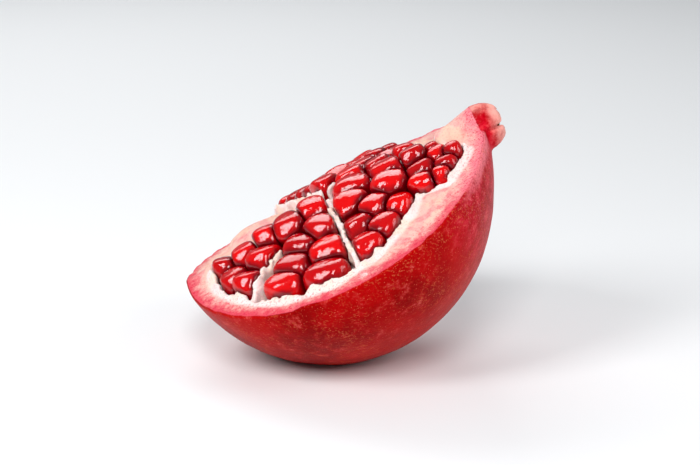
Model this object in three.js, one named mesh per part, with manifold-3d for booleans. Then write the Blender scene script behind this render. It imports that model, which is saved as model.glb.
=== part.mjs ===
// A segment of a ripe pomegranate, broken open along its length: a little under half of the fruit,
// lying on its skin with the crown end raised. The rind is one grown piece: peel, pith, the thin
// septa between the seed chambers, the crown and the stem scar. Every aril that shows is a piece
// of its own, pressed flat where it meets its neighbours.
//
// Units are millimetres. The fruit frame has its origin at the centre of the whole fruit, +X along
// the fruit's axis to the crown, +Z up out of the opened faces and +Y to the far side. The group
// tilts that frame and stands it on the rest spot, whose centre is the part's origin.

import * as THREE from "three";
import { mergeVertices } from "three/addons/utils/BufferGeometryUtils.js";
import Module from "manifold-3d";

// The whole fruit
const FRUIT_RADIUS = 47; // at the equator
const POLE_RADIUS = 46; // from the centre to the crown's base, and to the stem scar
const FACETS = 6; // soft flats round the fruit, one for each chamber
const FACET_HEIGHT = 0.45;
const SHOULDER_HEIGHT = 1.6; // the swelling that carries the crown
const SHOULDER_ANGLE = 0.3; // radians from the axis
const STEM_DIMPLE_DEPTH = 1.8;
const STEM_DIMPLE_ANGLE = 0.17;

// The segment
const NEAR_SLOPE = Math.tan(THREE.MathUtils.degToRad(14)); // how each face falls away from the axis
const FAR_SLOPE = Math.tan(THREE.MathUtils.degToRad(9));
const FACE_CLIMB = Math.tan(THREE.MathUtils.degToRad(6)); // how both climb towards the crown
const FACE_DROP = 2; // how far below the fruit's centre they meet
const AXIS_TILT = THREE.MathUtils.degToRad(22.5); // crown end up, as it lies
const REST_DEPTH = 1.8; // how much of the skin the rest spot flattens

// Rind and chambers
const RIND_WALL = 8; // peel and pith between the skin and the chambers
const CHAMBER_DEPTH = 7; // from the face to the bed that the arils sit on
const SEPTUM = 1.6; // thickness of a septum, and of the one along the axis

// Crown and stem scar
const CROWN_RADIUS = 6.4; // at its base
const CROWN_TIP_RADIUS = 3.9; // where the sepals' tips lean together
const CROWN_LENGTH = 7;
const CROWN_WALL = 2.3;
const SEPALS = 5;
const SEPAL_CUT = 4.6; // depth of the notch between two sepals
const SEPAL_CUT_WIDTH = 2.6;
const STEM_RADIUS = 2.6;
const STEM_LENGTH = 2.2; // how far the scar stands out of its dimple

// Arils
const ARIL_GAP = 0.36; // clearance between an aril and whatever is next to it
const NEAR_ARILS = 31;
const FAR_ARILS = 20;
const ARIL_SIZE_MID = 9.2; // width where the arils are largest
const ARIL_SIZE_CROWN = 5.8; // and beside the crown
const ARIL_TOP = 4.6; // from an aril's centre to its crest
const ARIL_RISE_MID = 1.6; // centre above the face, in the middle of a face
const ARIL_RISE_WALL = -1.4; // and against the rind
const ARIL_RISE_JITTER = 0.7;
const ARIL_PLUMP = 1.14; // free width over the width of its cell: more makes flatter contacts
const ARIL_EDGE = 7; // sharpness of the edges between an aril's flats
const ARIL_DETAIL = 2; // subdivision of each aril's icosahedron
const SEED = 7;

const CHAMBER_RADIUS = FRUIT_RADIUS - RIND_WALL; // across the axis
const CHAMBER_REACH = POLE_RADIUS - RIND_WALL; // and along it

// A boss of pith stands in front of the crown, and carries it. The crown's root starts there.
const ROOT_RADIUS = 0.5 * CROWN_RADIUS;
const BOSS_DEPTH = 3.5;
const BOSS_ANGLE = Math.atan((1.2 * ROOT_RADIUS) / CHAMBER_REACH);

// How much thicker or thinner the wall is than RIND_WALL, round from the crown at 0 to the stem at
// PI. On the near face a spur of pith juts in past the first few rows of arils. On the far face the
// boss is wider.
const NEAR_WALL = [
  [0, BOSS_DEPTH],
  [BOSS_ANGLE, BOSS_DEPTH],
  [BOSS_ANGLE + 0.2, -3],
  [0.62, 0],
  [0.76, 8],
  [1, 6],
  [1.4, 2.5],
  [1.8, 0],
  [2.7, 0],
  [Math.PI, 1.5],
];
const FAR_WALL = [
  [0, 9],
  [0.4, 9],
  [0.9, 3],
  [1.2, 1.5],
  [2.2, 0],
  [Math.PI, 1.5],
];

// Each septum stands across a face, at an angle about the fruit's centre seen from above. The angle
// is from the crown, negative on the near face, and reach is how far it runs in from the rind wall,
// as a share of the chamber's radius.
const SEPTA = [
  { angle: -1.55, reach: 0.84 },
  { angle: -2.4, reach: 0.4 },
  { angle: 0.95, reach: 0.86 },
  { angle: 2.0, reach: 0.95 },
];

// The far chamber beside the stem keeps its skin: a domed membrane and no arils.
const COVERED_FROM = 2.0;
const COVER_BULGE = 2.2;

const wasm = await Module();
wasm.setup();

// A small repeatable source of numbers from 0 to 1.
function randomSource(seed) {
  let state = seed;
  return () => {
    state = (state + 0x6d2b79f5) | 0;
    let t = Math.imul(state ^ (state >>> 15), 1 | state);
    t = (t + Math.imul(t ^ (t >>> 7), 61 | t)) ^ t;
    return ((t ^ (t >>> 14)) >>> 0) / 4294967296;
  };
}

// A closed three.js geometry as a manifold-3d solid.
function solid(geometry, matrix = new THREE.Matrix4()) {
  const bare = geometry.clone().applyMatrix4(matrix);
  bare.deleteAttribute("normal");
  bare.deleteAttribute("uv");
  const merged = mergeVertices(bare, 1e-4);
  return new wasm.Manifold(
    new wasm.Mesh({
      numProp: 3,
      vertProperties: merged.attributes.position.array,
      triVerts: new Uint32Array(merged.index.array),
    }),
  );
}

// A manifold-3d solid as a three.js geometry.
function geometryOf(made) {
  const mesh = made.getMesh();
  const geometry = new THREE.BufferGeometry();
  geometry.setAttribute("position", new THREE.BufferAttribute(mesh.vertProperties, 3));
  geometry.setIndex(new THREE.BufferAttribute(mesh.triVerts, 1));
  geometry.computeVertexNormals();
  return geometry;
}

const bump = (angle, width) => Math.exp(-((angle / width) ** 2));

// The distance from the centre to the plain ellipsoid under the skin, for an angle from the crown.
function ellipsoid(fromCrown) {
  return 1 / Math.hypot(Math.cos(fromCrown) / POLE_RADIUS, Math.sin(fromCrown) / FRUIT_RADIUS);
}

// The distance from the centre to the skin, for an angle from the crown and one round the axis.
function skinRadius(fromCrown, round) {
  return (
    ellipsoid(fromCrown) +
    FACET_HEIGHT * Math.sin(fromCrown) ** 2 * Math.cos(FACETS * round) +
    SHOULDER_HEIGHT * bump(fromCrown, SHOULDER_ANGLE) -
    STEM_DIMPLE_DEPTH * bump(Math.PI - fromCrown, STEM_DIMPLE_ANGLE)
  );
}

function wholeFruit() {
  const geometry = new THREE.SphereGeometry(1, 66, 44).rotateZ(-Math.PI / 2);
  const position = geometry.attributes.position;
  const point = new THREE.Vector3();
  for (let i = 0; i < position.count; i++) {
    point.fromBufferAttribute(position, i).normalize();
    const fromCrown = Math.acos(THREE.MathUtils.clamp(point.x, -1, 1));
    const round = Math.abs(Math.sin(fromCrown)) < 1e-6 ? 0 : Math.atan2(point.y, -point.z);
    point.multiplyScalar(skinRadius(fromCrown, round));
    position.setXYZ(i, point.x, point.y, point.z);
  }
  return solid(geometry);
}

const slopeOn = (side) => (side < 0 ? NEAR_SLOPE : FAR_SLOPE);

// The height of the opened faces at a place seen from above.
function faceHeight(x, y) {
  return FACE_CLIMB * x - slopeOn(Math.sign(y)) * Math.abs(y) - FACE_DROP;
}

// Square to a face, and out of the segment.
function faceNormal(side) {
  return new THREE.Vector3(-FACE_CLIMB, side * slopeOn(side), 1).normalize();
}

// Everything above the two opened faces, lowered by a depth.
function aboveFaces(depth) {
  const span = 3 * FRUIT_RADIUS;
  const outline = new THREE.Shape();
  outline.moveTo(0, faceHeight(0, 0) - depth);
  outline.lineTo(span, faceHeight(0, span) - depth);
  outline.lineTo(span, span);
  outline.lineTo(-span, span);
  outline.lineTo(-span, faceHeight(0, -span) - depth);
  const prism = new THREE.ExtrudeGeometry(outline, { depth: 2 * span, bevelEnabled: false });
  prism.translate(0, 0, -span);
  const alongAxis = new THREE.Matrix4().makeBasis(
    new THREE.Vector3(0, 1, 0),
    new THREE.Vector3(0, 0, 1),
    new THREE.Vector3(1, 0, FACE_CLIMB),
  );
  return solid(prism, alongAxis);
}

// The distance from the fruit's centre to the chambers' outer wall, seen from above.
function wallRadius(angle) {
  const outline = angle < 0 ? NEAR_WALL : FAR_WALL;
  const fromCrown = Math.abs(angle);
  const next = Math.max(1, outline.findIndex(([at]) => at >= fromCrown));
  const [[from, thick], [to, thickNext]] = [outline[next - 1], outline[next]];
  const share = THREE.MathUtils.smoothstep(fromCrown, from, to);
  return ellipsoid(fromCrown) - RIND_WALL - THREE.MathUtils.lerp(thick, thickNext, share);
}

// The chambers of one face: side is -1 on the near face and 1 on the far one. They stop at the
// septum along the axis, and on the far face where the cover starts.
function chambers(side) {
  const steps = 90;
  const edge = SEPTUM / 2;
  const outline = new THREE.Shape();
  const first = Math.asin(edge / wallRadius(side * Number.EPSILON));
  const end = side < 0 ? Math.PI - Math.asin(edge / wallRadius(Math.PI)) : COVERED_FROM;
  for (let i = 0; i <= steps; i++) {
    const angle = first + ((end - first) * i) / steps;
    const radius = wallRadius(side * angle);
    const x = radius * Math.cos(angle);
    const y = side * radius * Math.sin(angle);
    if (i === 0) outline.moveTo(x, y);
    else outline.lineTo(x, y);
  }
  if (side > 0) outline.lineTo(edge / Math.tan(COVERED_FROM), edge);
  const tall = 3 * FRUIT_RADIUS;
  const prism = new THREE.ExtrudeGeometry(outline, { depth: 2 * tall, bevelEnabled: false });
  let room = solid(prism.translate(0, 0, -tall));
  for (const septum of SEPTA.filter((s) => Math.sign(s.angle) === side)) {
    const length = septum.reach * CHAMBER_RADIUS;
    const plate = new THREE.BoxGeometry(length, SEPTUM, 2 * tall);
    plate.translate(wallRadius(septum.angle) - length / 2 + SEPTUM, 0, 0);
    room = room.subtract(solid(plate.rotateZ(septum.angle)));
  }
  return room.intersect(aboveFaces(CHAMBER_DEPTH));
}

// The crown with the pith that carries it, turned about the axis and notched into sepals. Its root
// starts where the chambers end.
function crown() {
  const root = CHAMBER_REACH - BOSS_DEPTH + ARIL_GAP;
  const base = POLE_RADIUS;
  const tip = base + CROWN_LENGTH;
  const outer = new THREE.SplineCurve([
    new THREE.Vector2(ROOT_RADIUS, root),
    new THREE.Vector2(0.8 * CROWN_RADIUS, (root + base) / 2),
    new THREE.Vector2(CROWN_RADIUS, base),
    new THREE.Vector2(CROWN_RADIUS, base + 0.45 * CROWN_LENGTH),
    new THREE.Vector2(CROWN_TIP_RADIUS, tip),
  ]).getPoints(14);
  const inner = new THREE.SplineCurve([
    new THREE.Vector2(CROWN_TIP_RADIUS - 0.4 * CROWN_WALL, tip - 0.1 * CROWN_WALL),
    new THREE.Vector2(CROWN_RADIUS - CROWN_WALL, base + 0.45 * CROWN_LENGTH),
    new THREE.Vector2(CROWN_RADIUS - 1.2 * CROWN_WALL, base + 0.2 * CROWN_LENGTH),
    new THREE.Vector2(0, base + 0.1 * CROWN_LENGTH),
  ]).getPoints(8);
  const profile = [new THREE.Vector2(0, root), ...outer, ...inner];
  profile[profile.length - 1].x = 0;
  const turned = new THREE.LatheGeometry(profile, 40).rotateZ(-Math.PI / 2);
  let made = solid(turned);
  const notch = new THREE.Shape();
  notch.moveTo(tip - SEPAL_CUT, 0);
  notch.lineTo(tip + 1, -SEPAL_CUT_WIDTH / 2);
  notch.lineTo(tip + 1, SEPAL_CUT_WIDTH / 2);
  for (let i = 0; i < SEPALS; i++) {
    const cut = new THREE.ExtrudeGeometry(notch, { depth: 2 * CROWN_RADIUS, bevelEnabled: false });
    made = made.subtract(solid(cut.rotateX((2 * Math.PI * (i + 0.35)) / SEPALS)));
  }
  return made;
}

function stemScar() {
  const end = POLE_RADIUS - STEM_DIMPLE_DEPTH + STEM_LENGTH;
  const start = CHAMBER_REACH;
  const stub = new THREE.CylinderGeometry(0.9 * STEM_RADIUS, STEM_RADIUS, end - start, 20);
  return solid(stub.rotateZ(Math.PI / 2).translate(-(end + start) / 2, 0, 0));
}

// The domed membrane over the covered chamber.
function cover() {
  const middle = (COVERED_FROM + Math.PI) / 2;
  const out = 0.52 * CHAMBER_RADIUS;
  const dome = new THREE.SphereGeometry(1, 32, 20);
  dome.scale(0.4 * CHAMBER_RADIUS, 0.26 * CHAMBER_RADIUS, 2 * COVER_BULGE);
  dome.rotateZ(middle);
  const x = out * Math.cos(middle);
  const y = out * Math.sin(middle);
  return solid(dome.translate(x, y, faceHeight(x, y) - COVER_BULGE));
}

function rind() {
  let made = wholeFruit().add(stemScar()).subtract(aboveFaces(0));
  for (const side of [-1, 1]) made = made.subtract(chambers(side));
  return made.add(crown()).add(cover());
}

// How wide an aril grows at a place seen from above.
function arilSize(x) {
  const toCrown = THREE.MathUtils.smoothstep(x / CHAMBER_REACH, 0.4, 0.9);
  return THREE.MathUtils.lerp(ARIL_SIZE_MID, ARIL_SIZE_CROWN, toCrown);
}

// The walls round a place inside a chamber, seen from above: each has a direction and a distance.
function wallsAt(x, y) {
  const side = Math.sign(y);
  const walls = [{ nx: 0, ny: -side, distance: Math.abs(y) - SEPTUM / 2 }];
  for (let i = -6; i <= 6; i++) {
    const angle = Math.atan2(y, x) + 0.04 * i;
    const dx = wallRadius(angle) * Math.cos(angle) - x;
    const dy = wallRadius(angle) * Math.sin(angle) - y;
    const distance = Math.hypot(dx, dy);
    walls.push({ nx: dx / distance, ny: dy / distance, distance });
  }
  for (const septum of SEPTA.filter((s) => Math.sign(s.angle) === side)) {
    const along = x * Math.cos(septum.angle) + y * Math.sin(septum.angle);
    const across = -x * Math.sin(septum.angle) + y * Math.cos(septum.angle);
    const end = wallRadius(septum.angle) - septum.reach * CHAMBER_RADIUS;
    if (along < end - ARIL_SIZE_MID / 2) continue;
    const turn = Math.sign(across) || 1;
    const nx = turn * Math.sin(septum.angle);
    const ny = -turn * Math.cos(septum.angle);
    walls.push({ nx, ny, distance: Math.abs(across) - SEPTUM / 2 });
  }
  return walls;
}

// Spreads a number of places evenly over one face's chambers, closer together where arils are small.
function spread(side, count, random) {
  const step = 1.1;
  const samples = [];
  for (let x = -POLE_RADIUS; x < POLE_RADIUS; x += step)
    for (let y = step / 2; y < FRUIT_RADIUS; y += step) {
      const angle = Math.atan2(y, x);
      const closed = side > 0 && angle > COVERED_FROM;
      if (closed || Math.hypot(x, y) > wallRadius(side * angle)) continue;
      if (wallsAt(x, side * y).some((wall) => wall.distance < 0.2)) continue;
      samples.push({ x, y: side * y, weight: arilSize(x) ** -4 });
    }
  const start = samples[Math.floor(random() * samples.length)];
  const places = [{ x: start.x, y: start.y }];
  while (places.length < count) {
    const room = (at) =>
      Math.min(...places.map((p) => Math.hypot(p.x - at.x, p.y - at.y))) / arilSize(at.x);
    const emptiest = samples.reduce((best, at) => (room(at) > room(best) ? at : best));
    places.push({ x: emptiest.x, y: emptiest.y });
  }
  for (let round = 0; round < 60; round++) {
    for (const place of places) place.sum = { x: 0, y: 0, weight: 0, cells: 0 };
    for (const sample of samples) {
      let nearest = places[0];
      let least = Infinity;
      for (const place of places) {
        const distance = (place.x - sample.x) ** 2 + (place.y - sample.y) ** 2;
        if (distance < least) [least, nearest] = [distance, place];
      }
      nearest.sum.x += sample.x * sample.weight;
      nearest.sum.y += sample.y * sample.weight;
      nearest.sum.weight += sample.weight;
      nearest.sum.cells += 1;
    }
    for (const place of places) {
      if (!place.sum.cells) continue;
      place.x = place.sum.x / place.sum.weight;
      place.y = place.sum.y / place.sum.weight;
      place.radius = Math.sqrt((place.sum.cells * step * step) / Math.PI);
      const walls = wallsAt(place.x, place.y).sort((a, b) => a.distance - b.distance);
      const lack = Math.max(0, 0.8 * place.radius - walls[0].distance);
      place.x -= lack * walls[0].nx;
      place.y -= lack * walls[0].ny;
    }
  }
  return places;
}

// Every aril's centre, width and the way it points, in the fruit frame.
function arilPlaces() {
  const random = randomSource(SEED);
  const faces = [
    { side: -1, count: NEAR_ARILS },
    { side: 1, count: FAR_ARILS },
  ];
  return faces.flatMap(({ side, count }) =>
    spread(side, count, random).map((place) => {
      const toWall = Math.hypot(place.x, place.y) / wallRadius(Math.atan2(place.y, place.x));
      const rise =
        THREE.MathUtils.lerp(ARIL_RISE_MID, ARIL_RISE_WALL, toWall ** 2) +
        ARIL_RISE_JITTER * (2 * random() - 1);
      const up = faceNormal(side);
      const toFloor = (rise + CHAMBER_DEPTH) * up.z - ARIL_GAP;
      const centre = new THREE.Vector3(place.x, place.y, faceHeight(place.x, place.y) + rise);
      return { radius: place.radius, centre, up, floor: up.clone().negate(), toFloor };
    }),
  );
}

// The planes that an aril may not cross: its neighbours', the chamber walls' and the bed's.
function limitsOf(aril, others) {
  const limits = [{ normal: aril.floor, distance: aril.toFloor }];
  for (const other of others) {
    if (other === aril) continue;
    const away = other.centre.clone().sub(aril.centre);
    const apart = away.length();
    if (apart > 3 * ARIL_SIZE_MID) continue;
    const share = (apart * aril.radius) / (aril.radius + other.radius);
    limits.push({ normal: away.divideScalar(apart), distance: share - ARIL_GAP / 2 });
  }
  for (const wall of wallsAt(aril.centre.x, aril.centre.y)) {
    const normal = new THREE.Vector3(wall.nx, wall.ny, 0);
    limits.push({ normal, distance: wall.distance - 1.4 * ARIL_GAP });
  }
  return limits;
}

// An egg, pointed towards its bed, that is pressed flat against each of its limits.
function arilGeometry(aril, limits) {
  const geometry = new THREE.IcosahedronGeometry(1, ARIL_DETAIL);
  const position = geometry.attributes.position;
  const direction = new THREE.Vector3();
  const width = ARIL_PLUMP * aril.radius;
  for (let i = 0; i < position.count; i++) {
    direction.fromBufferAttribute(position, i).normalize();
    const up = direction.dot(aril.up);
    const out = Math.sqrt(Math.max(0, 1 - up * up));
    const length = up > 0 ? ARIL_TOP : 1.05 * aril.toFloor;
    const taper = up > 0 ? 1 : 1 + 0.3 * up;
    let sum = Math.hypot(out / (width * taper), up / length) ** ARIL_EDGE;
    for (const limit of limits) {
      const towards = direction.dot(limit.normal) / limit.distance;
      if (towards > 0) sum += towards ** ARIL_EDGE;
    }
    direction.multiplyScalar(sum ** (-1 / ARIL_EDGE));
    position.setXYZ(i, direction.x, direction.y, direction.z);
  }
  geometry.deleteAttribute("normal");
  geometry.deleteAttribute("uv");
  const merged = mergeVertices(geometry, 1e-4);
  merged.computeVertexNormals();
  return merged;
}

const rindMaterial = new THREE.MeshStandardMaterial({
  name: "rind",
  color: 0xa8101c,
  roughness: 0.4,
  metalness: 0,
});
const arilMaterial = new THREE.MeshStandardMaterial({
  name: "aril",
  color: 0x9c0414,
  roughness: 0.12,
  metalness: 0,
});

// Turns the fruit frame to the way the segment lies, and stands it on its rest spot.
const lie = new THREE.Matrix4().makeRotationY(-AXIS_TILT);
const fruitLow = wholeFruit().transform(lie.elements).boundingBox().min[2];
const lift = -fruitLow - REST_DEPTH;

const pomegranate = new THREE.Group();
pomegranate.rotation.y = -AXIS_TILT;
pomegranate.position.z = lift;

// What lies below the surface that the segment rests on, in the fruit frame.
function belowRest() {
  const slab = new THREE.BoxGeometry(4 * FRUIT_RADIUS, 4 * FRUIT_RADIUS, FRUIT_RADIUS);
  slab.translate(0, 0, -FRUIT_RADIUS / 2 - lift);
  return solid(slab, lie.clone().invert());
}

const rindMesh = new THREE.Mesh(geometryOf(rind().subtract(belowRest())), rindMaterial);
rindMesh.name = "rind";
pomegranate.add(rindMesh);

const places = arilPlaces();
places.forEach((aril, index) => {
  const mesh = new THREE.Mesh(arilGeometry(aril, limitsOf(aril, places)), arilMaterial);
  mesh.name = "aril_" + String(index + 1).padStart(2, "0");
  mesh.position.copy(aril.centre);
  pomegranate.add(mesh);
});

export default pomegranate;
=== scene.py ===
"""Looks of the pomegranate segment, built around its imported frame.

The rind is meshed from a distance field: the fruit's skin, the two broken faces, the chambers with a
socket for every aril, the septa, the covered chamber, the crown and the stem scar. The arils are
the frame's own, rounded off and pressed together. The stamens in the crown's cup are made here.
Field sizes are millimetres in the fruit frame, whose origin is the centre of the whole fruit, +X to
the crown, +Z out of the faces and +Y to the far side.
"""

import math

import bpy
import numpy as np
import openvdb
from mathutils import Matrix, Vector


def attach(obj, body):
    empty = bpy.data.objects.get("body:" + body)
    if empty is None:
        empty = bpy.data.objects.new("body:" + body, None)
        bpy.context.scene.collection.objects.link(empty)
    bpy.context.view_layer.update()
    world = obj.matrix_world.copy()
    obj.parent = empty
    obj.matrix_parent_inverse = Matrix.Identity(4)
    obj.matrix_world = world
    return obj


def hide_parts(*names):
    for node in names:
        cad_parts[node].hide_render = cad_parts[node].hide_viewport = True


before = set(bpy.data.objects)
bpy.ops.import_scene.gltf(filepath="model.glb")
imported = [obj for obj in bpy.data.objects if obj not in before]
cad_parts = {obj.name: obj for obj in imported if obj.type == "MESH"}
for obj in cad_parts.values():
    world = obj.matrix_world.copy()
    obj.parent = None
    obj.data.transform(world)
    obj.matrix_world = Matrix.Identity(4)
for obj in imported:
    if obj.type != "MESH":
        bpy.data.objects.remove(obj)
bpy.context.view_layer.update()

MM = 0.001

# The frame's own sizes, in millimetres
FRUIT_RADIUS = 47.0
POLE_RADIUS = 46.0
CENTRE_HEIGHT = 45.377
AXIS_TILT = math.radians(22.5)
NEAR_SLOPE = math.tan(math.radians(14))
FAR_SLOPE = math.tan(math.radians(9))
FACE_CLIMB = math.tan(math.radians(6))
FACE_DROP = 2.0
RIND_WALL = 8.0
CHAMBER_DEPTH = 7.0
CHAMBER_RADIUS = FRUIT_RADIUS - RIND_WALL
CROWN_RADIUS = 6.4
CROWN_LENGTH = 7.0
SEPALS = 5
COVERED_FROM = 2.0
BOSS_DEPTH = 3.5
BOSS_ANGLE = math.atan(0.6 * CROWN_RADIUS / (POLE_RADIUS - RIND_WALL))

# How much thicker than RIND_WALL the wall is on each face, by the angle from the crown
NEAR_WALL = [
    (0, BOSS_DEPTH), (BOSS_ANGLE, BOSS_DEPTH), (BOSS_ANGLE + 0.2, -3), (0.62, 0), (0.76, 8),
    (1, 6), (1.4, 2.5), (1.8, 0), (2.7, 0), (math.pi, 1.5),
]
FAR_WALL = [(0, 9), (0.4, 9), (0.9, 3), (1.2, 1.5), (2.2, 0), (math.pi, 1.5)]

# The septa: the angle of each, and how far it reaches in from the wall, in chamber radii
SEPTA = [(-1.55, 0.84), (-2.4, 0.4), (0.95, 0.86), (2.0, 0.95)]

# The field's grid
STEP = 0.45
LOW = np.array([-49.0, -49.0, -49.0])
HIGH = np.array([55.0, 49.0, 9.0])
BAND = 2.2  # how far from the surface the field is worked out
BLOCK = 4  # steps in a side of the blocks that are tried first
HALF_DIAGONAL = 0.87  # of a block, in its sides
CHUNK = 400000  # places worked out at a time

# Skin
RIBS = 6
RIB_HEIGHT = 0.45
SHOULDER_HEIGHT = 1.6
SHOULDER_ANGLE = 0.3
STEM_DIP = 1.8
STEM_DIP_ANGLE = 0.17

# Crown, in millimetres along its axis from the skin's pole, and the radius at each place
CROWN_OUTSIDE = ([-13, -6, -2, 0, 2.6, 4.6, 6.0, 6.9], [3.1, 4.9, 6.1, 6.8, 6.5, 5.7, 4.8, 3.4])
CROWN_CUP = ([0.4, 1.5, 3.4, 5.2, 7.2], [0.0, 2.8, 4.3, 4.0, 2.4])
CROWN_ROOT = -12.4
SEPAL_PITCH = 2 * math.pi / SEPALS
SEPAL_PHASE = 0.26  # how far round the first crease is, in pitches
CREASE_DEPTH = 0.9
CREASE_EXTRA = 0.3  # how much deeper the deepest crease is
CREASE_WIDTH = 0.55

# The membrane over the covered chamber, in chamber radii and millimetres
COVER_OUT = 0.52
COVER_HALF_LENGTH = 0.4
COVER_HALF_WIDTH = 0.26
COVER_HEIGHT = 4.4
COVER_SUNK = 2.2

# Stem scar
STUB_RADIUS = 2.5
STUB_END = 46.2
STUB_START = 38

# Arils
SWELL = np.array([1.17, 1.17, 1.06])  # how far the arils grow past the frame's, axis by axis
ROUNDING = 1.04  # makes up for what rounding off takes away
PRESSED_GAP = 0.05  # what is left between two arils that press on each other
PRESSED_ROUND = 0.6  # how round the edge of a pressed flat is
NEIGHBOUR_REACH = 14  # how far apart two arils that can touch are, middle to middle
TOP_SHARE = 0.87  # how much of an aril is left below a flat on its top
TOP_ROUND = 1.1
TOP_TURN = 0.22
SOCKET_GAP = 0.1
SOCKET_REACH = 8.5

# Stamens
STAMENS = 60
STAMEN_SIDES = 5
STAMEN_STATIONS = 6

# Random waves: their height and length in millimetres, and their seed
SKIN_WAVES = (0.14, 9.0, 1)
SKIN_PORES = (0.05, 3.1, 2)
CROWN_WAVES = (0.12, 2.2, 3)
COVER_LUMPS = (0.3, 3.4, 4)
RIM_COARSE = (0.9, 2.9, 8)
RIM_FINE = (0.55, 1.3, 12)
CRUMB_COARSE = (1.2, 3.6, 9)
CRUMB_FINE = (1.0, 1.6, 13)
SEPTUM_SWAY = (0.9, 3.2, 10)
SEPTUM_TEAR = (1.0, 2.4, 11)
SEPTUM_FRAY = (0.6, 1.1, 14)
RIDGE_SWAY = (0.5, 3.6, 15)
RIDGE_WAVES = (0.3, 2.4, 16)

# Torn flesh, whose waves have a height of 1 and are scaled where they are used
FLESH_COARSE = (1.0, 6.5, 5)
FLESH_MIDDLE = (1.0, 2.3, 6)
FLESH_FINE = (1.0, 1.0, 7)
FACE_COARSE = 0.45
FACE_MIDDLE = 0.28
FACE_FINE = 0.12
FACE_SHARE = 0.96  # makes the height over a sloping face a distance
BED_RISE = 2.2  # how far the arils' bed lies above the chambers' floor
BED_LUMPS = 0.4
CRUMB_HEIGHT = 0.9
LIP_PLACE = 0.3
LIP_WIDTH = 1.3

# Septa and the ridge along the axis
SEPTUM_TOP = 2.9
SEPTUM_TEAR_HEIGHT = 1.8
SEPTUM_RIM_DROP = 0.6
SEPTUM_HALF = 0.75
SEPTUM_LUMPS = 0.25
SEPTUM_TAPER = 0.05
SEPTUM_INSET = 3.0
RIDGE_HALF = 1.0

# How round the edges are where two surfaces meet
FACE_EDGE = 0.7
ROOM_EDGE = 0.35
SOCKET_EDGE = 0.3
SEPTUM_EDGE = 0.5
CROWN_EDGE = 1.2
SEPAL_EDGE = 0.6
SEPAL_END = 0.9
COVER_EDGE = 0.8
STUB_EDGE = 0.8
STUB_END_EDGE = 0.5
REST_EDGE = 0.4

LATTICE = 32  # the random numbers repeat after this many
LATTICE_SHIFT = 100.37  # keeps every place in the lattice positive


def noise(x, y, z, scale, seed):
    """Smooth value noise from -1 to 1, on a lattice of random numbers that repeats."""
    shape = (LATTICE, LATTICE, LATTICE)
    lattice = np.random.default_rng(seed).uniform(-1, 1, shape).astype(np.float32)
    cells, shares = [], []
    for c in (x, y, z):
        g = np.asarray(c, np.float32) / scale + LATTICE_SHIFT
        i = np.floor(g).astype(np.int32)
        f = g - i
        cells.append(i % LATTICE)
        shares.append(f * f * (3 - 2 * f))
    out = 0
    for dx in (0, 1):
        wx = shares[0] if dx else 1 - shares[0]
        ix = (cells[0] + dx) % LATTICE
        for dy in (0, 1):
            wy = shares[1] if dy else 1 - shares[1]
            iy = (cells[1] + dy) % LATTICE
            for dz in (0, 1):
                wz = shares[2] if dz else 1 - shares[2]
                iz = (cells[2] + dz) % LATTICE
                out = out + lattice[ix, iy, iz] * wx * wy * wz
    return out


def waves(x, y, z, kind):
    height, length, seed = kind
    return height * noise(x, y, z, length, seed)


def smooth_min(a, b, k):
    h = np.clip(0.5 + 0.5 * (b - a) / k, 0, 1)
    return b + (a - b) * h - k * h * (1 - h)


def smooth_max(a, b, k):
    return -smooth_min(-a, -b, k)


def smooth_step(low, high, value):
    t = np.clip((value - low) / (high - low), 0, 1)
    return t * t * (3 - 2 * t)


def bump(offset, width):
    return np.exp(-((offset / width) ** 2))


def ellipsoid(from_crown):
    return 1 / np.hypot(np.cos(from_crown) / POLE_RADIUS, np.sin(from_crown) / FRUIT_RADIUS)


def skin_field(x, y, z):
    """Distance out of the skin, which has soft ribs, a shoulder to the crown and a dip at the stem."""
    r = np.sqrt(x * x + y * y + z * z) + 1e-6
    from_crown = np.arccos(np.clip(x / r, -1, 1))
    round_axis = np.arctan2(y, -z)
    radius = (
        ellipsoid(from_crown)
        + RIB_HEIGHT * np.sin(from_crown) ** 2 * np.cos(RIBS * round_axis)
        + SHOULDER_HEIGHT * bump(from_crown, SHOULDER_ANGLE)
        - STEM_DIP * bump(math.pi - from_crown, STEM_DIP_ANGLE)
    )
    return r - radius - waves(x, y, z, SKIN_WAVES) - waves(x, y, z, SKIN_PORES)


def face_height(x, y):
    slope = np.where(y < 0, NEAR_SLOPE, FAR_SLOPE)
    return FACE_CLIMB * x - slope * np.abs(y) - FACE_DROP


def wall_radius(angle):
    """How far the chambers reach from the axis, by the angle from the crown, below zero when near."""
    from_crown = np.abs(angle)
    thick = 0
    for near, table in ((True, NEAR_WALL), (False, FAR_WALL)):
        at, values = np.array(table).T
        k = np.clip(np.searchsorted(at, from_crown), 1, len(at) - 1)
        share = smooth_step(at[k - 1], at[k], from_crown)
        here = values[k - 1] + (values[k] - values[k - 1]) * share
        thick = np.where((angle < 0) == near, here, thick)
    return ellipsoid(from_crown) - RIND_WALL - thick


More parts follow.
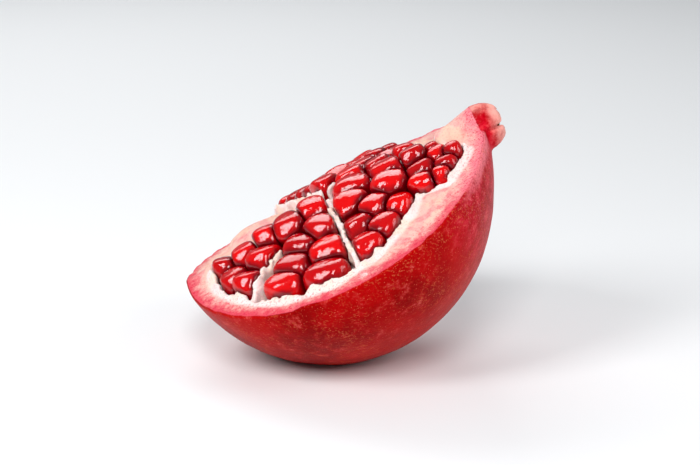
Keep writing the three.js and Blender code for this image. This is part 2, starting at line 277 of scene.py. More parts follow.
def crown_field(x, y, z):
    """The crown with the boss that carries it: thick sepals, parted by creases, round a cup."""
    s = x - POLE_RADIUS
    rho = np.hypot(y, z)
    turn = np.arctan2(-y, z)
    outer = np.interp(s, *CROWN_OUTSIDE)
    inner = np.interp(s, *CROWN_CUP)
    offset = (turn / SEPAL_PITCH - SEPAL_PHASE) % 1.0
    edge = np.minimum(offset, 1 - offset) * SEPAL_PITCH * np.maximum(rho, 2)
    deepest = np.cos(turn - (1 + SEPAL_PHASE) * SEPAL_PITCH)
    depth = CREASE_DEPTH + CREASE_EXTRA * deepest
    crease = depth * bump(edge, CREASE_WIDTH) * smooth_step(-0.5, 3.0, s)
    shell = smooth_max(rho - outer + crease, inner - rho, SEPAL_EDGE)
    ends = np.maximum(s - CROWN_LENGTH + 0.15 + 0.6 * crease, CROWN_ROOT - s)
    return smooth_max(shell, ends, SEPAL_END) - waves(x, y, z, CROWN_WAVES)


def cover_field(x, y, z):
    """The domed membrane over the covered chamber, lumpy with the arils that it hides."""
    middle = (COVERED_FROM + math.pi) / 2
    c, s = math.cos(middle), math.sin(middle)
    cx = COVER_OUT * CHAMBER_RADIUS * c
    cy = COVER_OUT * CHAMBER_RADIUS * s
    u = ((x - cx) * c + (y - cy) * s) / (COVER_HALF_LENGTH * CHAMBER_RADIUS)
    v = (-(x - cx) * s + (y - cy) * c) / (COVER_HALF_WIDTH * CHAMBER_RADIUS)
    centre = FACE_CLIMB * cx - FAR_SLOPE * cy - FACE_DROP - COVER_SUNK
    w = (z - centre) / COVER_HEIGHT
    q = np.sqrt(u * u + v * v + w * w)
    return (q - 1) * COVER_HEIGHT - waves(x, y, 0 * z, COVER_LUMPS)


def under_cover(x, y):
    """How far a place is inside the covered chamber, in plan."""
    return np.where(y > 0, np.hypot(x, y) * np.sin(np.arctan2(y, x) - COVERED_FROM), -9.0)


def parts_of(x, y, z):
    """How far a place is out of the skin, above its face and outside the chambers' wall."""
    skin = skin_field(x, y, z)
    face = z - face_height(x, y)
    wall = np.hypot(x, y) - wall_radius(np.arctan2(y, x))
    return skin, face, wall


def septa_field(x, y, z, skin, face, wall):
    """The septa: thin, wavy membranes with torn tops."""
    shape = np.full(np.shape(x), 9.0)
    lumps = waves(x, y, z, FLESH_MIDDLE)
    rim = smooth_step(0.5, -3.5, wall)
    for angle, reach in SEPTA:
        along = x * math.cos(angle) + y * math.sin(angle)
        across = -x * math.sin(angle) + y * math.cos(angle)
        start = wall_radius(np.array(angle)) - reach * CHAMBER_RADIUS
        sway = waves(along, 0 * across, z, SEPTUM_SWAY)
        torn = waves(along, 0 * along, 0 * along, SEPTUM_TEAR) + waves(along, across, z, SEPTUM_FRAY)
        top = (SEPTUM_TOP + SEPTUM_TEAR_HEIGHT * torn) * rim - SEPTUM_RIM_DROP * (1 - rim)
        plate = np.abs(across + sway) - SEPTUM_HALF - SEPTUM_LUMPS * lumps
        plate = plate - SEPTUM_TAPER * np.clip(-face, 0, 6)
        plate = np.maximum(plate, np.maximum(start - along, face - top))
        plate = np.maximum(plate, np.maximum(skin + SEPTUM_INSET, -face - CHAMBER_DEPTH))
        shape = np.minimum(shape, plate)
    return shape


def roof_field(x, y, z, face, wall, rough):
    """Distance above the broken faces, with a torn lip round the chambers."""
    turned = (x + 0.6 * y, y - 0.6 * x, 0 * z)
    crumb = CRUMB_HEIGHT + waves(*turned, CRUMB_COARSE) + waves(*turned, CRUMB_FINE)
    lip = bump(wall - LIP_PLACE, LIP_WIDTH) * crumb * smooth_step(3, -1, under_cover(x, y))
    return (face + rough - lip) * FACE_SHARE


def room_field(x, y, z, face, wall, middle):
    """Distance out of the open chambers, which a ridge along the fruit's axis parts."""
    ragged = wall + waves(x, y, z, RIM_COARSE) + waves(x, y, z, RIM_FINE)
    half = RIDGE_HALF + waves(x, 0 * y, z, RIDGE_WAVES)
    ridge = half - np.abs(y + waves(x, 0 * y, z, RIDGE_SWAY))
    bed = -(face + CHAMBER_DEPTH - BED_RISE) + BED_LUMPS * middle
    return np.maximum(np.maximum(ragged, ridge), np.maximum(bed, under_cover(x, y)))


def stub_field(x, y, z, roof, middle, fine):
    """The stub of the stem in its dip."""
    stub = np.maximum(np.hypot(y, z) - STUB_RADIUS - 0.25 * middle, -x - STUB_END - 0.2 * fine)
    return smooth_max(np.maximum(stub, x + STUB_START), roof, STUB_END_EDGE)


def rind_field(x, y, z):
    """Distance out of the whole rind."""
    skin, face, wall = parts_of(x, y, z)
    coarse = waves(x, y, z, FLESH_COARSE)
    middle = waves(x, y, z, FLESH_MIDDLE)
    fine = waves(x, y, z, FLESH_FINE)
    rough = FACE_COARSE * coarse + FACE_MIDDLE * middle + FACE_FINE * fine
    roof = roof_field(x, y, z, face, wall, rough)
    body = smooth_max(skin, roof, FACE_EDGE)
    body = smooth_max(body, -room_field(x, y, z, face, wall, middle), ROOM_EDGE)
    body = smooth_min(body, septa_field(x, y, z, skin, face, wall), SEPTUM_EDGE)
    body = smooth_min(body, crown_field(x, y, z), CROWN_EDGE)
    body = smooth_min(body, cover_field(x, y, z), COVER_EDGE)
    body = smooth_min(body, stub_field(x, y, z, roof, middle, fine), STUB_EDGE)
    rest = -(x * math.sin(AXIS_TILT) + z * math.cos(AXIS_TILT) + CENTRE_HEIGHT)
    return smooth_max(body, rest, REST_EDGE)


def in_fruit(points):
    """Frame coordinates in metres to the fruit frame in millimetres."""
    p = np.asarray(points, np.float64) / MM
    x, y, z = p[:, 0], p[:, 1], p[:, 2] - CENTRE_HEIGHT
    c, s = math.cos(AXIS_TILT), math.sin(AXIS_TILT)
    return np.stack([x * c + z * s, y, -x * s + z * c], 1)


def in_frame(points):
    """The fruit frame in millimetres to frame coordinates in metres."""
    c, s = math.cos(AXIS_TILT), math.sin(AXIS_TILT)
    x, y, z = points[:, 0], points[:, 1], points[:, 2]
    return np.stack([x * c - z * s, y, x * s + z * c + CENTRE_HEIGHT], 1) * MM


def vertices(data):
    """A mesh's vertices in the fruit frame."""
    co = np.zeros(len(data.vertices) * 3, np.float32)
    data.vertices.foreach_get("co", co)
    return in_fruit(co.reshape(-1, 3))


def move_vertices(data, points):
    data.vertices.foreach_set("co", in_frame(points).astype(np.float32).ravel())


def node_mesh(name):
    """A node's vertices in the fruit frame, and its triangles."""
    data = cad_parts[name].data
    data.calc_loop_triangles()
    tri = np.zeros(len(data.loop_triangles) * 3, np.int32)
    data.loop_triangles.foreach_get("vertices", tri)
    return vertices(data), tri.reshape(-1, 3)


def swollen_flats(points, triangles):
    """The planes of an aril's own flats after it has swollen, as normals and distances."""
    a, b, c = (points[triangles[:, k]] for k in range(3))
    normal = np.cross(b - a, c - a)
    normal = normal / np.maximum(np.linalg.norm(normal, axis=1), 1e-9)[:, None]
    distance = (a * normal).sum(1)
    keep = np.linalg.norm(normal, axis=1) > 0.5
    stretched = normal[keep] / SWELL
    length = np.linalg.norm(stretched, axis=1)
    return stretched / length[:, None], distance[keep] / length


def pressed_flats(i, points, shapes, middles):
    """The planes that its neighbours press on aril number i, as normals and distances."""
    press, limits = [], []
    for j, (other, _) in enumerate(shapes):
        between = middles[j] - middles[i]
        span = np.linalg.norm(between)
        if i == j or span > NEIGHBOUR_REACH:
            continue
        toward = between / span
        mine = (points @ toward).max()
        its = ((middles[j] - other) @ toward).max()
        press.append(toward)
        limits.append(mine + (span - mine - its) / 2 - PRESSED_GAP)
    return np.array(press), np.array(limits)


def top_flats(points, side, chance):
    """Two flats on an aril's open end, one up and one to its face's outside."""
    tops = []
    for x, y, z in ((0, 0, 1), (-0.25, 0.75 * side, 0.65)):
        flat = np.array((x, y, z)) + chance.uniform(-TOP_TURN, TOP_TURN, 3)
        flat /= np.linalg.norm(flat)
        tops.append((flat, TOP_SHARE * (points * SWELL @ flat).max()))
    return tops


def aril_cells(names):
    """For each aril its middle, the planes that its neighbours press on it, and all its flats."""
    shapes = [node_mesh(name) for name in names]
    middles = [(points.max(0) + points.min(0)) / 2 for points, _ in shapes]
    chance = np.random.default_rng(3)
    cells = []
    for i, (points, triangles) in enumerate(shapes):
        points = points - middles[i]
        flats, distances = swollen_flats(points, triangles)
        press, limits = pressed_flats(i, points, shapes, middles)
        cells.append(
            {
                "middle": middles[i],
                "press": press,
                "limits": limits,
                "tops": top_flats(points, 1 if middles[i][1] > 0 else -1, chance),
                "flats": np.concatenate([flats, press]),
                "distances": np.concatenate([distances, limits]),
            }
        )
    return cells


def field_grid():
    """The rind's field on the grid, worked out only near its surface."""
    shape = np.ceil((HIGH - LOW) / STEP / BLOCK).astype(int) * BLOCK
    axes = [LOW[i] + STEP * np.arange(shape[i]) for i in range(3)]
    middles = [a.reshape(-1, BLOCK).mean(1) for a in axes]
    mx, my, mz = np.meshgrid(*middles, indexing="ij")
    rough = rind_field(mx.ravel(), my.ravel(), mz.ravel()).reshape(mx.shape)
    near = np.abs(rough) < BAND + HALF_DIAGONAL * BLOCK * STEP
    for axis in range(3):
        rough = np.repeat(rough, BLOCK, axis)
        near = np.repeat(near, BLOCK, axis)
    field = np.where(rough > 0, BAND, -BAND).astype(np.float32)
    i, j, k = np.nonzero(near)
    for start in range(0, len(i), CHUNK):
        part = slice(start, start + CHUNK)
        ii, jj, kk = i[part], j[part], k[part]
        field[ii, jj, kk] = rind_field(axes[0][ii], axes[1][jj], axes[2][kk])
    return np.clip(field, -BAND, BAND), axes


def carve_sockets(field, axes, arils):
    """Clears the field round every aril."""
    for aril in arils:
        middle = aril["middle"]
        cut = [
            slice(*np.searchsorted(axes[i], [middle[i] - SOCKET_REACH, middle[i] + SOCKET_REACH]))
            for i in range(3)
        ]
        gx, gy, gz = np.meshgrid(*(axes[i][cut[i]] - middle[i] for i in range(3)), indexing="ij")
        points = np.stack([gx.ravel(), gy.ravel(), gz.ravel()], 1)
        outside = (points @ aril["flats"].T - aril["distances"]).max(1).reshape(gx.shape)
        field[tuple(cut)] = smooth_max(field[tuple(cut)], SOCKET_GAP - outside, SOCKET_EDGE)


def keep_largest(points, quads):
    """Drops crumbs of the field that aren't joined to the rest."""
    label = np.arange(len(points))
    edges = np.concatenate([quads[:, [0, 1]], quads[:, [1, 2]], quads[:, [2, 3]], quads[:, [3, 0]]])
    while True:
        least = np.minimum(label[edges[:, 0]], label[edges[:, 1]])
        new = label.copy()
        np.minimum.at(new, edges[:, 0], least)
        np.minimum.at(new, edges[:, 1], least)
        new = new[new]
        if (new == label).all():
            break
        label = new
    names, counts = np.unique(label, return_counts=True)
    keep = label == names[counts.argmax()]
    index = np.cumsum(keep) - 1
    return points[keep], index[quads[keep[quads[:, 0]]]]


def surface_of(field):
    """The field's zero surface, as vertices in the fruit frame and four-sided faces."""
    grid = openvdb.FloatGrid(BAND)
    grid.copyFromArray(field)
    grid.transform = openvdb.createLinearTransform(voxelSize=STEP)
    points, quads = grid.convertToQuads(isovalue=0)
    return keep_largest(np.asarray(points, np.float64) + LOW, np.asarray(quads, np.int64))


def sample(field, points):
    """The field at any points, between the grid's own."""
    at = (points - LOW) / STEP
    low = np.clip(np.floor(at).astype(int), 0, np.array(field.shape) - 2)
    share = np.clip(at - low, 0, 1)
    total = 0
    for corner in np.ndindex(2, 2, 2):
        weight = np.prod(np.where(corner, share, 1 - share), axis=1)
        total = total + weight * field[tuple((low + corner).T)]
    return total


def mesh_object(name, points, faces):
    """A smooth-shaded object made of points in the fruit frame."""
    data = bpy.data.meshes.new(name)
    corners = [tuple(p) for p in in_frame(points)]
    data.from_pydata(corners, [], [tuple(int(i) for i in f) for f in faces])
    data.validate()
    data.polygons.foreach_set("use_smooth", [True] * len(data.polygons))
    made = bpy.data.objects.new(name, data)
    bpy.context.scene.collection.objects.link(made)
    return made


def add_attribute(obj, name, values):
    attribute = obj.data.attributes.new(name, "FLOAT", "POINT")
    attribute.data.foreach_set("value", np.asarray(values, np.float32))


class Nodes:
    """A small helper to build a material's nodes."""

    def __init__(self, name):
        self.material = bpy.data.materials.new(name)
        self.material.use_nodes = True
        self.tree = self.material.node_tree
        self.shader = self.tree.nodes["Principled BSDF"]

    def add(self, kind, **inputs):
        """A new node. A key is an input's name, i and its number, or _ and a property's name."""
        node = self.tree.nodes.new(kind)
        for key, value in inputs.items():
            if key.startswith("_"):
                setattr(node, key[1:], value)
            else:
                self.set(node, key, value)
        return node

    def set(self, node, key, value):
        socket = node.inputs[int(key[1:])] if key[0] == "i" and key[1:].isdigit() else None
        if socket is None:
            socket = node.inputs[key.replace("_", " ")]
        if isinstance(value, bpy.types.NodeSocket):
            self.tree.links.new(value, socket)
        else:
            socket.default_value = value

    def fix(self, **values):
        """Sets the shader's own inputs to constants."""
        for key, value in values.items():
            self.shader.inputs[key.replace("_", " ")].default_value = value

    def millimetres(self):
        """The piece's own coordinates, in millimetres."""
        place = self.add("ShaderNodeTexCoord").outputs["Object"]
        scaled = self.add("ShaderNodeVectorMath", _operation="SCALE", i0=place)
        scaled.inputs["Scale"].default_value = 1 / MM
        return scaled.outputs[0]

    def attribute(self, name):
        return self.add("ShaderNodeAttribute", _attribute_name=name).outputs["Fac"]

    def math(self, how, a, b):
        return self.add("ShaderNodeMath", _operation=how, i0=a, i1=b).outputs[0]

    def plus(self, a, b):
        return self.math("ADD", a, b)

    def times(self, a, b):
        return self.math("MULTIPLY", a, b)

    def centred(self, value, width):
        """A value from 0 to 1, made to run evenly to both sides of zero."""
        return self.times(self.math("SUBTRACT", value, 0.5), width)

    def ramp(self, value, low, high, a=0.0, b=1.0):
        """A smooth run from a to b as the value goes from low to high."""
        node = self.add("ShaderNodeMapRange", _interpolation_type="SMOOTHSTEP")
        for i, given in enumerate((value, low, high, a, b)):
            self.set(node, f"i{i}", given)
        return node.outputs[0]

    def mix(self, factor, a, b):
        """One colour over another."""
        node = self.add("ShaderNodeMix", _data_type="RGBA", _clamp_factor=True)
        for i, given in ((0, factor), (6, a), (7, b)):
            self.set(node, f"i{i}", given)
        return node.outputs[2]

    def mix_values(self, factor, a, b):
        return self.add("ShaderNodeMix", _data_type="FLOAT", i0=factor, i2=a, i3=b).outputs[0]

    def noise(self, vector, scale, detail=2.0, rough=0.5, twist=0.0):
        node = self.add("ShaderNodeTexNoise", Vector=vector, Scale=scale, Detail=detail)
        self.set(node, "Roughness", rough)
        self.set(node, "Distortion", twist)
        return node.outputs[0]

    def cells(self, vector, scale):
        return self.add("ShaderNodeTexVoronoi", Vector=vector, Scale=scale).outputs[0]

    def bump(self, height, distance, strength):
        node = self.add("ShaderNodeBump", Height=height, Distance=distance, Strength=strength)
        return node.outputs[0]


def srgb(r, g, b):
    def linear(v):
        v /= 255
        return v / 12.92 if v <= 0.04045 else ((v + 0.055) / 1.055) ** 2.4

    return (linear(r), linear(g), linear(b), 1.0)


# Colours
SKIN_DARK = srgb(132, 0, 2)
SKIN_RED = srgb(172, 3, 5)
SKIN_LIGHT = srgb(198, 14, 16)
SHOULDER_DARK = srgb(168, 0, 20)
SHOULDER_PINK = srgb(216, 40, 66)
SHOULDER_STREAK = srgb(182, 8, 26)
RIM_PINK = srgb(244, 132, 144)
GOLD_SPECK = srgb(204, 98, 62)
PALE_DOT = srgb(226, 106, 84)
DARK_FLECK = srgb(170, 4, 24)
PALE_FLECK = srgb(246, 150, 152)
CROWN_DARK = srgb(170, 0, 16)
CROWN_RED = srgb(204, 14, 38)
# Pale sepal tips, also used as a painted highlight on the crown's top side
SEPAL_TIP_AND_HIGHLIGHT = srgb(240, 170, 158)
FLESH_CREAM = srgb(240, 192, 180)
FLESH_PINK = srgb(234, 144, 146)
BLUSH = srgb(224, 76, 92)
PALE_BLUSH = srgb(240, 128, 140)
TORN_WHITE = srgb(248, 228, 224)
FLESH_BUFF = srgb(248, 216, 182)
FLESH_DOT = srgb(208, 44, 74)
# Juice stain in the chambers, deepened as painted shade between the arils
JUICE_AND_SHADE = srgb(110, 6, 12)
ARIL_DEEP = srgb(160, 0, 16)
# The arils' painted glow, the bright red of their middles
ARIL_PAINTED_GLOW = srgb(255, 1, 2)
ARIL_DULL = srgb(158, 0, 15)
# Painted shade where an aril meets its neighbours
ARIL_PAINTED_SHADE = srgb(112, 0, 11)
STAMEN_BROWN = srgb(120, 62, 30)
STAMEN_TAN = srgb(206, 150, 92)
FLOOR_GREY = (0.86, 0.87, 0.88, 1)
SKY_WHITE = (0.9, 0.95, 1.0, 1)


def skin_colour(n, mm, grain, mottle, speck, fine, crown_near):
    """Deep red, pinker to the crown, with golden specks and pale dots, and the crown's own."""
    patches = n.noise(mm, 0.05, 3.0)
    streaks = n.noise(grain, 0.7, 5.0, 0.7)
    red = n.mix(n.ramp(patches, 0.35, 0.65), SKIN_DARK, SKIN_RED)
    red = n.mix(n.ramp(mottle, 0.45, 0.75, 0.0, 0.7), red, SKIN_LIGHT)
    pink = n.mix(n.ramp(mottle, 0.38, 0.62), SHOULDER_DARK, SHOULDER_PINK)
    pink = n.mix(n.ramp(streaks, 0.48, 0.7, 0.0, 0.65), pink, SHOULDER_STREAK)
    toward = n.plus(crown_near, n.centred(patches, 0.6))
    red = n.mix(n.ramp(toward, 0.45, 1.15), red, pink)
    rim = n.plus(n.attribute("rim"), n.centred(mottle, 1.2))
    red = n.mix(n.ramp(rim, 0.15, 1.0, 0.0, 0.8), red, RIM_PINK)
    cluster = n.ramp(n.noise(mm, 0.09, 3.0), 0.4, 0.62, 0.12, 0.6)
    red = n.mix(n.times(n.ramp(speck, 0.56, 0.64), cluster), red, GOLD_SPECK)
    red = n.mix(n.ramp(n.cells(mm, 1.1), 0.2, 0.1, 0.0, 0.5), red, PALE_DOT)
    flecks = n.times(n.ramp(fine, 0.54, 0.64), n.ramp(crown_near, 0.45, 0.95, 0.0, 0.6))
    red = n.mix(flecks, red, DARK_FLECK)
    pale = n.times(n.ramp(fine, 0.44, 0.36), n.ramp(crown_near, 0.45, 0.95, 0.0, 0.28))
    red = n.mix(pale, red, PALE_FLECK)
    crown_red = n.mix(n.ramp(mottle, 0.4, 0.6), CROWN_DARK, CROWN_RED)
    red = n.mix(n.attribute("crown"), red, crown_red)
    # Pale sepal tips, with a painted highlight on the crown's top side
    tip_and_highlight = n.plus(n.attribute("crown_tip_and_highlight"), n.centred(mottle, 1.5))
    return n.mix(n.ramp(tip_and_highlight, 0.05, 1.1, 0.0, 0.95), red, SEPAL_TIP_AND_HIGHLIGHT)


def flesh_colour(n, mm, grain, stain, fine, depth, crown_near):
    """Cream, bleeding pink towards the skin, white where it tore off the arils, and dark with juice
    stain and painted shade in the chambers.
    """
    fibre = n.noise(grain, 0.9, 3.0, 0.6)
    flesh = n.mix(n.ramp(stain, 0.42, 0.7), FLESH_CREAM, FLESH_PINK)
    bleed = n.plus(depth, n.plus(n.centred(stain, -7.0), n.centred(fibre, -4.0)))
    blush = n.mix(n.ramp(crown_near, 0.5, 1.0), BLUSH, PALE_BLUSH)
    flesh = n.mix(n.ramp(bleed, 5.6, 0.4), flesh, blush)
    flesh = n.mix(n.ramp(n.attribute("inner"), 0.35, 0.85), flesh, TORN_WHITE)
    patches = n.ramp(n.noise(mm, 0.16, 2.0), 0.45, 0.6, 0.0, 0.4)
    flesh = n.mix(n.times(n.ramp(depth, 3.0, 7.0), patches), flesh, FLESH_BUFF)
    spots = n.times(n.ramp(fine, 0.53, 0.63), n.ramp(depth, 8.0, 0.8, 0.22, 0.9))
    flesh = n.mix(spots, flesh, FLESH_DOT)
    # Juice stain and painted shade: dark red over the pith inside the chambers
    return n.mix(n.attribute("juice"), flesh, JUICE_AND_SHADE)


def rind_material():
    n = Nodes("rind_look")
    mm = n.millimetres()
    depth = n.attribute("depth")
    crown_near = n.attribute("crown_near")
    along, around = n.attribute("grain_x"), n.attribute("grain_y")
    grain = n.add("ShaderNodeCombineXYZ", X=along, Y=around).outputs[0]
    mottle = n.noise(mm, 0.3, 6.0, 0.7)
    stretched = n.add("ShaderNodeVectorMath", _operation="MULTIPLY", i0=mm, i1=(0.55, 1.0, 1.0))
    speck = n.noise(stretched.outputs[0], 1.5, 2.0, 0.6, 1.2)
    fine = n.noise(mm, 1.8, 3.0, 0.65)
    stain = n.noise(mm, 0.3, 4.0, 0.65)
    skin = skin_colour(n, mm, grain, mottle, speck, fine, crown_near)
    flesh = flesh_colour(n, mm, grain, stain, fine, depth, crown_near)
    is_flesh = n.ramp(n.plus(depth, n.centred(stain, 0.3)), 0.3, 0.55)
    n.set(n.shader, "Base_Color", n.mix(is_flesh, skin, flesh))
    skin_rough = n.ramp(speck, 0.3, 0.8, 0.38, 0.52)
    n.set(n.shader, "Roughness", n.mix_values(is_flesh, skin_rough, 0.6))
    n.fix(IOR=1.35, Specular_IOR_Level=0.08, Specular_Tint=(1.0, 0.3, 0.25, 1.0))
    n.fix(Subsurface_Weight=0.1, Subsurface_Radius=(1.0, 0.3, 0.2), Subsurface_Scale=0.001)
    peel = n.times(n.cells(mm, 1.5), 0.1)
    torn = n.noise(mm, 1.0, 6.0, 0.75)
    n.set(n.shader, "Normal", n.bump(n.mix_values(is_flesh, peel, torn), 0.5 * MM, 0.9))
    return n.material


def aril_material():
    """Clear red flesh, with a painted glow in the middle and painted shade, deep crimson, where it
    meets its neighbours.
    """
    n = Nodes("aril_look")
    mm = n.millimetres()
    free = n.attribute("free")
    # Painted glow: brighter red the farther a place is from its neighbours and the rind
    painted_glow = n.ramp(n.plus(free, n.centred(n.noise(mm, 0.28, 2.0), 1.6)), 0.2, 1.7)
    colour = n.mix(painted_glow, ARIL_DEEP, ARIL_PAINTED_GLOW)
    colour = n.mix(n.times(n.attribute("tone"), 0.6), colour, ARIL_DULL)
    # Painted shade: deep crimson close to a neighbour or the rind
    colour = n.mix(n.ramp(free, 0.7, 0.05, 0.0, 0.85), colour, ARIL_PAINTED_SHADE)
    n.set(n.shader, "Base_Color", colour)
    n.fix(Roughness=0.07, IOR=1.5, Specular_Tint=(1.0, 0.92, 0.95, 1.0))
    n.fix(Transmission_Weight=0.3, Subsurface_Weight=0.8)
    n.fix(Subsurface_Radius=(1.0, 0.05, 0.04), Subsurface_Scale=0.0015)
    n.set(n.shader, "Normal", n.bump(n.noise(mm, 0.4, 2.0), 0.5 * MM, 0.4))
    return n.material


def stamen_material():
    n = Nodes("stamen_look")
    patches = n.ramp(n.noise(n.millimetres(), 0.9, 2.0), 0.4, 0.62)
    n.set(n.shader, "Base_Color", n.mix(patches, STAMEN_BROWN, STAMEN_TAN))
    n.fix(Roughness=0.7)
    return n.material


def floor_material():
    n = Nodes("floor_look")
    n.fix(Base_Color=FLOOR_GREY, Roughness=0.6)
    return n.material


def add_rind_attributes(rind, x, y, z):
    """What the rind's material needs to know of every vertex."""
    skin, face, wall = parts_of(x, y, z)
    s = x - POLE_RADIUS
    on_crown = smooth_step(-1.6, 0.2, s) * smooth_step(2.0, 0.4, crown_field(x, y, z))
    on_septum = smooth_step(0.9, 0.3, septa_field(x, y, z, skin, face, wall))
    on_ridge = smooth_step(1.8, 0.9, np.abs(y)) * smooth_step(0.5, -1.0, wall)
    on_ridge = on_ridge * smooth_step(-4, -1, face)
    torn = bump(wall - 0.8, 2.4) * smooth_step(-2.0, -0.6, face)
    torn = torn * smooth_step(3, -1, under_cover(x, y)) * smooth_step(0, 6, np.abs(y))
    torn = np.maximum(np.maximum(torn, 0.8 * on_ridge), on_septum)
    # Inside the chambers below the faces: juice stain there, darkened further as painted shade
    in_room = smooth_step(-0.8, -2.6, face) * smooth_step(0.9, -0.2, wall)
    # Paler towards the sepals' ends, and paler on the crown's top side as a painted highlight
    pale = np.maximum(smooth_step(0.8, 6.8, s), 0.6 * smooth_step(3.2, 6.8, z))
    around = np.arctan2(y, -z) * FRUIT_RADIUS
    depth = np.where(s > -0.5, np.minimum(-skin, 9.0) * (1 - on_crown), -skin)
    add_attribute(rind, "depth", depth)
    add_attribute(rind, "crown_near", smooth_step(8, 44, x))
    add_attribute(rind, "inner", torn)
    add_attribute(rind, "juice", in_room * (1 - on_septum) * (1 - on_ridge))
    add_attribute(rind, "crown", on_crown * smooth_step(-1.2, 1.2, s))
    rim = smooth_step(-6.5, -0.5, face) * smooth_step(28, 43, x) * (1 - on_crown)
    add_attribute(rind, "rim", rim)
    add_attribute(rind, "crown_tip_and_highlight", on_crown * pale)
    add_attribute(rind, "grain_x", x * 0.35)
    add_attribute(rind, "grain_y", around * np.maximum(np.hypot(y, z) / FRUIT_RADIUS, 0.3))


def make_rind(field):
    points, quads = surface_of(field)
    rind = mesh_object("rind_look", points, quads)
    add_rind_attributes(rind, *points.T)
    rind.data.materials.append(rind_material())
    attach(rind, "root")
    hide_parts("rind")


def swollen_copy(name, middle):
    """A copy of a frame's aril, swollen, to be rounded off by its modifiers."""
    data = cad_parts[name].data.copy()
    move_vertices(data, middle + SWELL * ROUNDING * (vertices(data) - middle))
    piece = bpy.data.objects.new(name + "_look", data)
    bpy.context.scene.collection.objects.link(piece)
    weld = piece.modifiers.new("weld", "WELD")
    weld.merge_threshold = 0.02 * MM
    surface = piece.modifiers.new("round", "SUBSURF")
    surface.levels = 2
    return piece


def press_flat(points, flat, limit, roundness):
    """Moves what stands past a plane back to it."""
    reach = points @ flat
    return points + np.outer(smooth_min(reach, limit, roundness) - reach, flat)


def make_arils(names, cells, field):
    """The frame's arils, rounded off, swollen and pressed flat where they meet."""
    material = aril_material()
    made = [swollen_copy(name, cell["middle"]) for name, cell in zip(names, cells)]
    graph = bpy.context.evaluated_depsgraph_get()
    tones = np.random.default_rng(5).uniform(0, 1, len(names))
    for name, cell, piece, tone in zip(names, cells, made, tones):
        data = bpy.data.meshes.new_from_object(piece.evaluated_get(graph))
        piece.modifiers.clear()
        piece.data = data
        points = vertices(data) - cell["middle"]
        for flat, limit in cell["tops"]:
            points = press_flat(points, flat, limit, TOP_ROUND)
        for flat, limit in zip(cell["press"], cell["limits"]):
            points = press_flat(points, flat, limit, PRESSED_ROUND)
        # How far each place is from its neighbours and the rind, which the material turns into painted
        # shade and painted glow
        free = (cell["limits"] - points @ cell["press"].T).min(1)
        free = np.minimum(free, sample(field, points + cell["middle"]))
        move_vertices(data, points + cell["middle"])
        data.materials.clear()
        data.materials.append(material)
        data.polygons.foreach_set("use_smooth", [True] * len(data.polygons))
        data.update()
        add_attribute(piece, "free", free)
        add_attribute(piece, "tone", np.full(len(points), tone))
        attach(piece, "root")
        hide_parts(name)


def stamen_points(chance):
    """The rings of one bent filament with a thicker head, from its root in the cup."""
    turn = chance.uniform(0, 2 * math.pi)
    root = chance.uniform(1.2, 3.6)
    head = chance.uniform(0.5, 2.9)
    low = 0.9 + 0.25 * root
    high = chance.uniform(3.6, 5.9)
    lean = chance.uniform(-0.6, 0.6)
    curl = chance.uniform(-0.7, 0.7)
    points = []
    for k in range(STAMEN_STATIONS):
        t = k / (STAMEN_STATIONS - 1)
        out = root + (head - root) * t + curl * math.sin(math.pi * t)
        around = turn + lean * t
        thick = 0.16 - 0.04 * t
        if k == STAMEN_STATIONS - 2:
            thick = 0.3
        if k == STAMEN_STATIONS - 1:
            thick = 0.34
        for i in range(STAMEN_SIDES):
            a = 2 * math.pi * i / STAMEN_SIDES
            y = out * math.cos(around) + thick * math.cos(a)
            z = out * math.sin(around) + thick * math.sin(a)
            points.append((POLE_RADIUS + low + (high - low) * t, y, z))
    return points


def make_stamens():
    """The tuft of dried stamens in the crown's cup."""
    chance = np.random.default_rng(12)
    ring = range(STAMEN_SIDES)
    points, faces = [], []
    for _ in range(STAMENS):
        first = len(points)
        points += stamen_points(chance)
        for k in range(1, STAMEN_STATIONS):
            below = first + (k - 1) * STAMEN_SIDES
            here = first + k * STAMEN_SIDES
            for i in ring:
                j = (i + 1) % STAMEN_SIDES
                faces.append((below + i, below + j, here + j, here + i))
        last = first + (STAMEN_STATIONS - 1) * STAMEN_SIDES
        faces.append(tuple(first + i for i in reversed(ring)))
        faces.append(tuple(last + i for i in ring))
    stamens = mesh_object("stamens", np.array(points), faces)
    stamens.data.materials.append(stamen_material())
    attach(stamens, "root")


def make_floor():
    half = 3
    corners = [(-half, -half, 0), (half, -half, 0), (half, half, 0), (-half, half, 0)]
    data = bpy.data.meshes.new("floor")
    data.from_pydata(corners, [], [(0, 1, 2, 3)])
    data.materials.append(floor_material())
    floor = bpy.data.objects.new("floor", data)
    bpy.context.scene.collection.objects.link(floor)


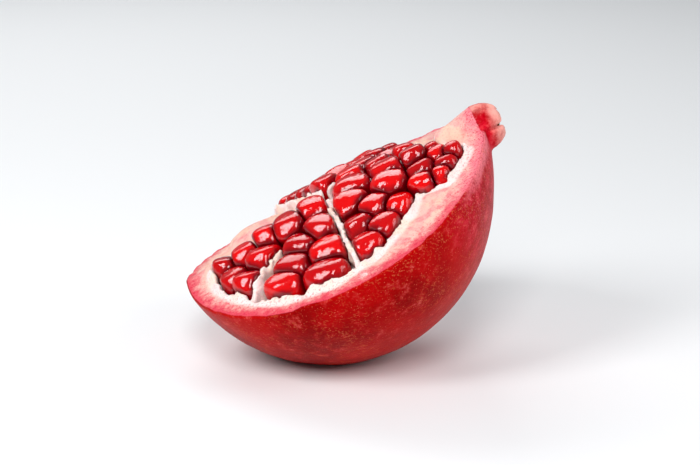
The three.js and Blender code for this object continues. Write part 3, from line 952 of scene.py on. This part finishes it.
def make_sky():
    world = bpy.data.worlds.new("studio")
    bpy.context.scene.world = world
    world.use_nodes = True
    background = world.node_tree.nodes["Background"]
    background.inputs["Color"].default_value = SKY_WHITE
    background.inputs["Strength"].default_value = 0.22


def area_light(name, place, size, power):
    """A rectangular light aimed at the fruit's middle."""
    data = bpy.data.lights.new(name, "AREA")
    data.shape = "RECTANGLE"
    data.size, data.size_y = size
    data.energy = power
    light = bpy.data.objects.new(name, data)
    light.location = place
    aim = Vector((0, 0, 0.05)) - Vector(place)
    light.rotation_euler = aim.to_track_quat("-Z", "Y").to_euler()
    bpy.context.scene.collection.objects.link(light)


def make_camera():
    """The camera, at the photograph's viewing angle, placed from the whole fruit's centre."""
    azimuth, elevation = math.radians(-6.3), math.radians(15)
    away, aside, below = 534.776, 6.876, 10.314
    level = math.cos(elevation)
    back = Vector((math.sin(azimuth) * level, -math.cos(azimuth) * level, math.sin(elevation)))
    right = Vector((math.cos(azimuth), math.sin(azimuth), 0))
    up = back.cross(right)
    place = Vector((0, 0, CENTRE_HEIGHT)) + back * away + right * aside - up * below
    data = bpy.data.cameras.new("camera")
    data.lens = 100.0
    data.sensor_width = 36.0
    data.clip_start = 0.01
    camera = bpy.data.objects.new("camera", data)
    camera.matrix_world = Matrix(
        (
            (right.x, up.x, back.x, place.x * MM),
            (right.y, up.y, back.y, place.y * MM),
            (right.z, up.z, back.z, place.z * MM),
            (0, 0, 0, 1),
        )
    )
    bpy.context.scene.collection.objects.link(camera)
    bpy.context.scene.camera = camera


# The fruit
aril_names = sorted(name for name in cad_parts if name.startswith("aril"))
arils = aril_cells(aril_names)
rind_distance, grid_axes = field_grid()
carve_sockets(rind_distance, grid_axes, arils)
make_rind(rind_distance)
make_arils(aril_names, arils, rind_distance)
make_stamens()

# The studio
make_floor()
make_sky()
area_light("window_left", (-0.58, -0.36, 0.56), (0.26, 0.4), 4.2)
area_light("window_right", (-0.1, -0.64, 0.58), (0.26, 0.4), 4.2)
area_light("fill", (0.75, -0.25, 0.45), (0.4, 0.5), 2.4)
area_light("back", (-0.2, 0.7, 0.6), (0.7, 0.45), 3.4)
make_camera()
bpy.context.scene.view_settings.view_transform = "Standard"
